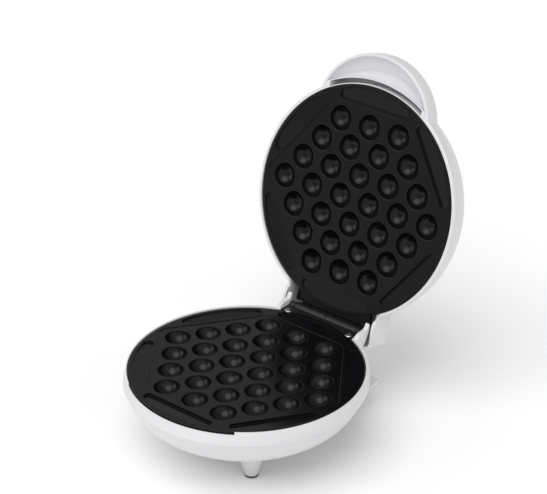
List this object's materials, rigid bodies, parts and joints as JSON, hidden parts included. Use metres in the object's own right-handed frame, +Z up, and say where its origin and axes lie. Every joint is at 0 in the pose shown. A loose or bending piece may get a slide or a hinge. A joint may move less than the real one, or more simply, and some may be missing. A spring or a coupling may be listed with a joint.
{
  "type": "bubble waffle maker",
  "caption": "Round table-top bubble waffle maker with its lid open: black cast plates with dimpled cups in white shells, a D-shaped handle, a rear hinge and short legs.",
  "frame": {"origin": "middle of the space that the opened maker covers, on the table under its feet", "axes": "+X to the right along the hinge as seen from the handle side of the base, +Y from the front of the base to the hinge, +Z up"},
  "size_m": [0.2086, 0.3052, 0.3011],
  "materials": {
    "white_plastic": "smooth moulded, semi gloss",
    "coated_casting": "black non-stick coating, fine satin",
    "element_steel": "dull drawn tube",
    "ceramic": "unglazed ceramic",
    "sheet_aluminium": "mill finish sheet",
    "zinc_steel": "bright zinc plated",
    "hinge_steel": "dark grey satin paint",
    "brown_resin": "moulded phenolic",
    "sleeve": "woven glass sleeve",
    "natural_nylon": "natural nylon",
    "black_rubber": "matt rubber",
    "red_lens": "clear tinted, polished",
    "green_lens": "clear tinted, polished",
    "board": "phenolic paper board",
    "lamp_glass": "small clear lamp"
  },
  "bodies": {
    "base": {"base_shell": "white_plastic", "base_plate": "coated_casting", "base_heating_element": "element_steel", "base_element_beads": "ceramic", "base_heat_shield": "sheet_aluminium", "base_screws": "zinc_steel", "thermostat": "brown_resin", "thermostat_screws": "zinc_steel", "thermal_fuse": "sleeve", "fuse_clip": "zinc_steel", "terminal_block": "natural_nylon", "cord_gland": "black_rubber", "rear_stand": "white_plastic", "rear_stand_screws": "zinc_steel", "foot_pads": "black_rubber", "hinge_bracket": "hinge_steel", "hinge_bracket_screws": "zinc_steel", "hinge_pin": "zinc_steel"},
    "lid": {"lid_shell": "white_plastic", "lid_plate": "coated_casting", "lid_heating_element": "element_steel", "lid_element_beads": "ceramic", "lid_heat_shield": "sheet_aluminium", "lid_shield_screws": "zinc_steel", "lid_clips": "zinc_steel", "lid_clip_screws": "zinc_steel", "hinge_leaf": "hinge_steel", "hinge_leaf_screws": "zinc_steel", "red_lens": "red_lens", "green_lens": "green_lens", "lamp_board": "board", "signal_lamps": "lamp_glass"}
  },
  "joints": [
    {"name": "lid_hinge", "type": "hinge", "parent": "base", "child": "lid", "pos_m": [0, 0.05951, 0.0752], "axis": [1, 0, 0], "range_deg": [0, 107.3]}
  ]
}
